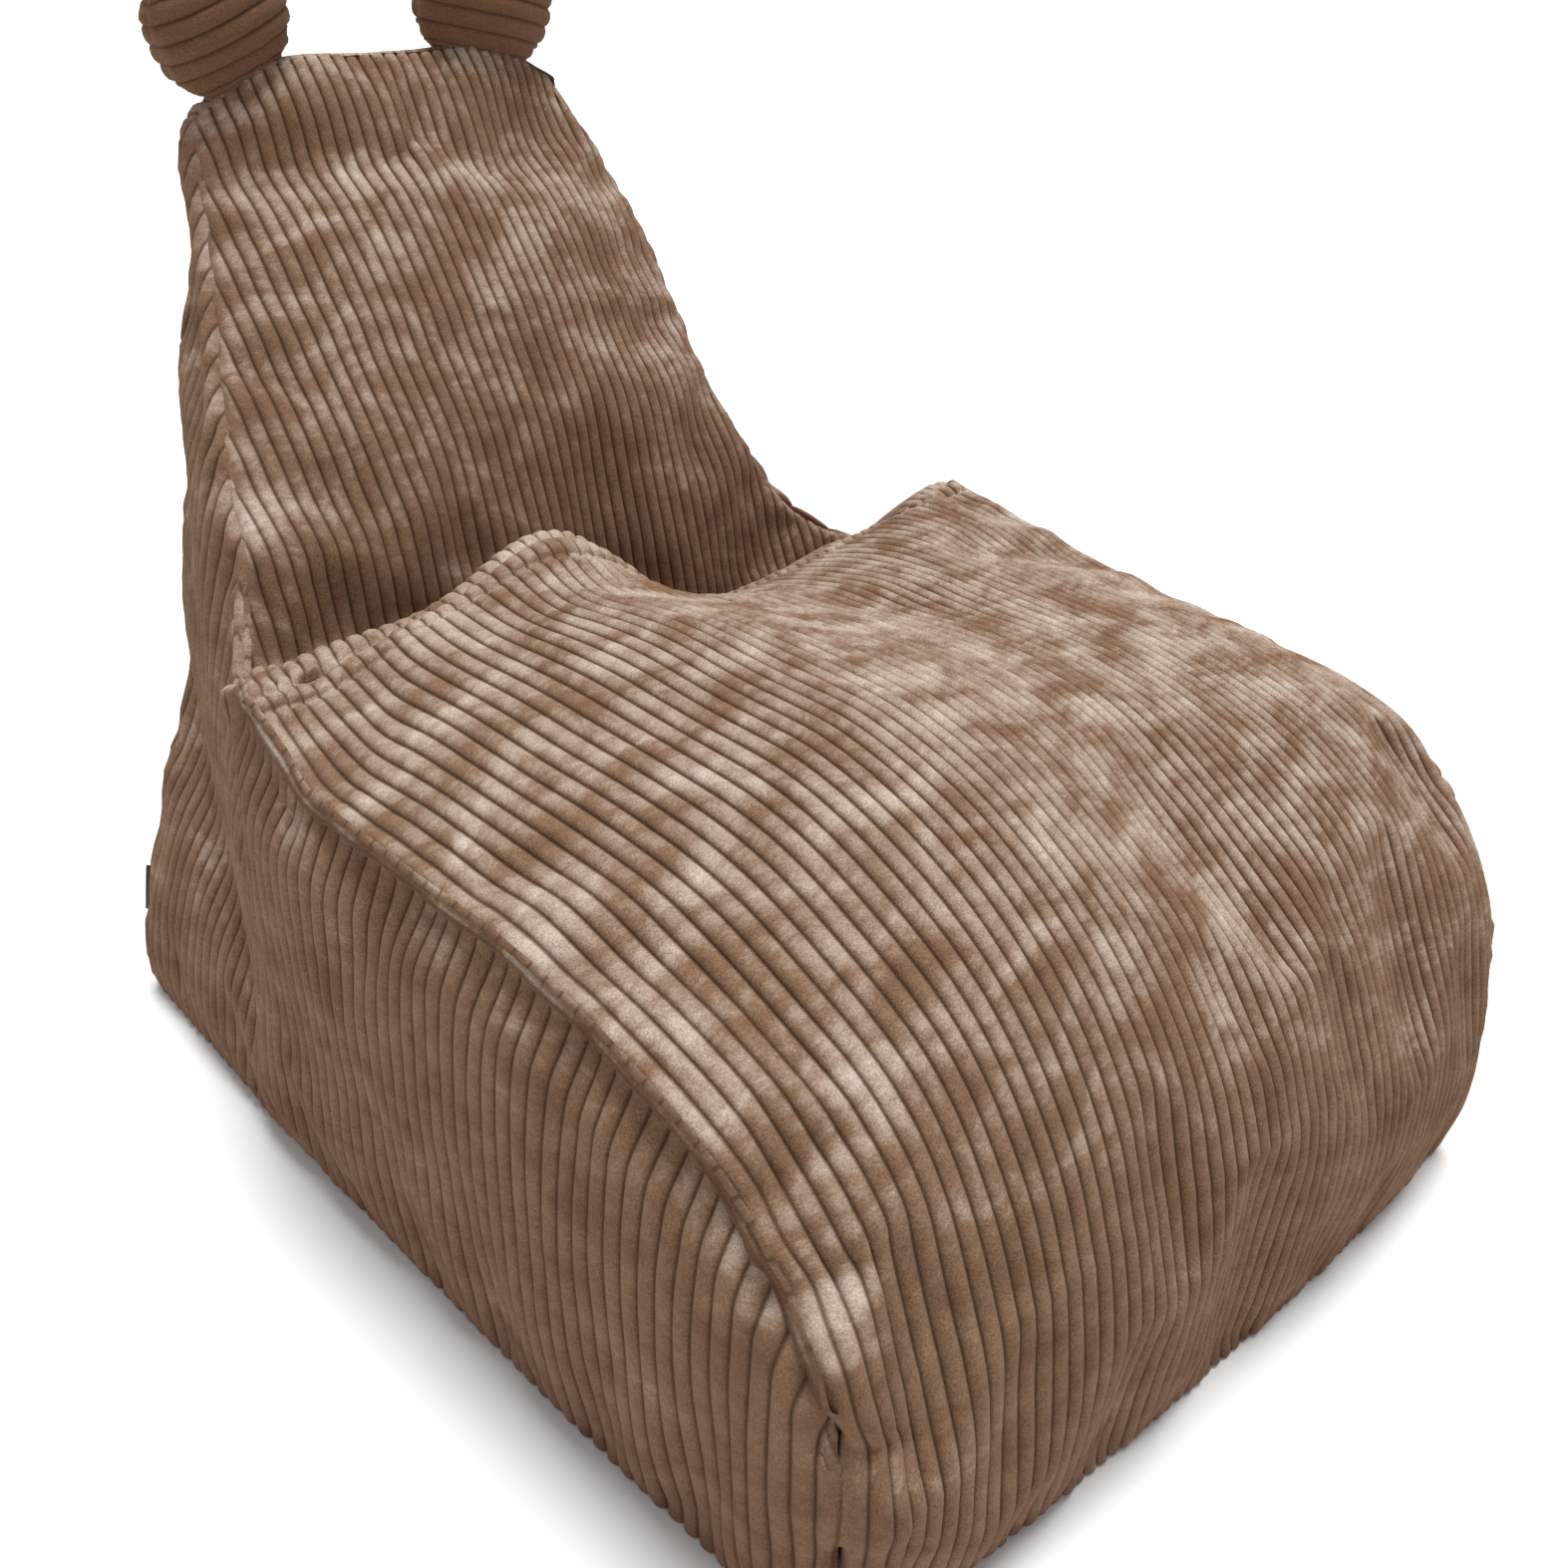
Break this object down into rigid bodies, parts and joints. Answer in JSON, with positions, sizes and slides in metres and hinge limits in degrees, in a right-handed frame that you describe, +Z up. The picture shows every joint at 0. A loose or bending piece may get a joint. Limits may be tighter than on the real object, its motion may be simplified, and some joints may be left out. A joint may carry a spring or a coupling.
{
  "type": "bean bag chair",
  "caption": "Child's bean bag lounger in wide-wale corduroy: deep seat, leaning backrest, two stuffed ears, zipped cover and bead-filled liner.",
  "frame": {"origin": "on the floor, under the middle of the whole object's box", "axes": "+Z up, +X to the sitter's left as seen from the front (right in the front view), the seat's front faces -Y and the backrest stands at +Y"},
  "size_m": [0.564, 0.7895, 0.6705],
  "materials": {
    "corduroy": "matte",
    "liner_cloth": "matte",
    "foam_beads": "matte",
    "polyester_fibre": "matte",
    "zip_tape": "matte",
    "nylon_coil": "satin",
    "zip_metal": "satin",
    "label_tape": "matte"
  },
  "bodies": {
    "bag": {"base_panel": "corduroy", "left_side_panel": "corduroy", "right_side_panel": "corduroy", "seat_panel": "corduroy", "backrest_panel": "corduroy", "rear_panel_lower": "corduroy", "rear_panel_upper": "corduroy", "liner_base_panel": "liner_cloth", "liner_left_panel": "liner_cloth", "liner_right_panel": "liner_cloth", "liner_seat_strip": "liner_cloth", "liner_backrest_strip": "liner_cloth", "liner_rear_strip": "liner_cloth", "bead_fill": "foam_beads", "cover_zip_upper_tape": "zip_tape", "cover_zip_upper_coil": "nylon_coil", "cover_zip_lower_tape": "zip_tape", "cover_zip_lower_coil": "nylon_coil", "cover_zip_left_stop": "zip_metal", "cover_zip_right_stop": "zip_metal", "liner_zip_upper_tape": "zip_tape", "liner_zip_upper_coil": "nylon_coil", "liner_zip_lower_tape": "zip_tape", "liner_zip_lower_coil": "nylon_coil", "liner_zip_left_stop": "zip_metal", "liner_zip_right_stop": "zip_metal"},
    "left_ear": {"left_ear_front": "corduroy", "left_ear_back": "corduroy", "left_ear_fill": "polyester_fibre"},
    "right_ear": {"right_ear_front": "corduroy", "right_ear_back": "corduroy", "right_ear_fill": "polyester_fibre"},
    "cover_zip_slide": {"cover_zip_slider": "zip_metal"},
    "cover_zip_pull": {"cover_zip_puller": "zip_metal"},
    "liner_zip_slide": {"liner_zip_slider": "zip_metal"},
    "label_tab": {"side_label": "label_tape"}
  },
  "joints": [
    {"name": "left_ear_flop", "type": "hinge", "parent": "bag", "child": "left_ear", "pos_m": [-0.097, 0.369, 0.5915], "axis": [1, 0, 0], "range_deg": [-40, 40], "stiffness_Nm_per_rad": 0.06},
    {"name": "right_ear_flop", "type": "hinge", "parent": "bag", "child": "right_ear", "pos_m": [0.097, 0.369, 0.5915], "axis": [1, 0, 0], "range_deg": [-40, 40], "stiffness_Nm_per_rad": 0.06},
    {"name": "cover_zip_run", "type": "slide", "parent": "bag", "child": "cover_zip_slide", "axis": [1, 0, 0], "range_m": [0, 0.375]},
    {"name": "cover_zip_pull_swing", "type": "hinge", "parent": "cover_zip_slide", "child": "cover_zip_pull", "pos_m": [-0.1875, 0.31562, 0.0543], "axis": [1, 0, 0], "range_deg": [-4, 150]},
    {"name": "liner_zip_run", "type": "slide", "parent": "bag", "child": "liner_zip_slide", "axis": [1, 0, 0], "range_m": [0, 0.205]},
    {"name": "label_flap", "type": "hinge", "parent": "bag", "child": "label_tab", "pos_m": [-0.26088, 0.31302, 0.07006], "axis": [0.2439, 0.1297, 0.9611], "range_deg": [-60, 60], "stiffness_Nm_per_rad": 0.00005}
  ]
}
